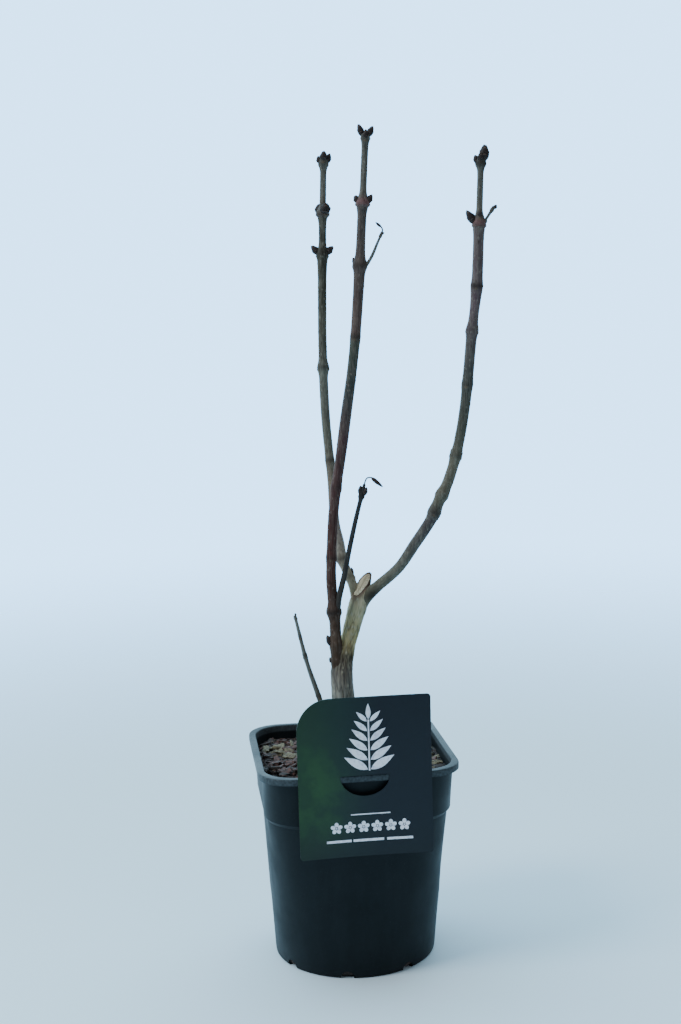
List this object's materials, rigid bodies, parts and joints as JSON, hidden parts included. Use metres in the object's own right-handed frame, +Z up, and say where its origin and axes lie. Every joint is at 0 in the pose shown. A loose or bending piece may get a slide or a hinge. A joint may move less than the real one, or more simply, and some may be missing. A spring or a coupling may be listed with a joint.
{
  "type": "potted lilac shrub",
  "caption": "Young leafless lilac in winter, with budded shoots on a short forked trunk, growing in a square-rimmed plastic nursery pot with a hanging card label.",
  "frame": {"origin": "centre of the flat underside of the pot, where it stands", "axes": "+Z up along the pot's axis, -Y towards the side with the label, +X towards the long side bough"},
  "size_m": [0.2378, 0.1951, 0.7561],
  "materials": {
    "pot": "satin, slightly dusty",
    "compost": "rough, moist",
    "card": "printed, gloss",
    "bark": "dull bark",
    "twigs": "satin bark and dull buds"
  },
  "bodies": {
    "root": {"pot": "pot", "soil": "compost", "label": "card", "trunk": "bark", "leader": "bark", "fork_limb": "bark", "left_bough": "bark", "right_bough_lower": "bark", "right_bough_upper": "bark", "leader_tip": "twigs", "left_tip": "twigs", "right_tip": "twigs", "leader_side_twig": "twigs", "lower_twig": "twigs", "basal_shoot": "twigs"}
  },
  "joints": []
}
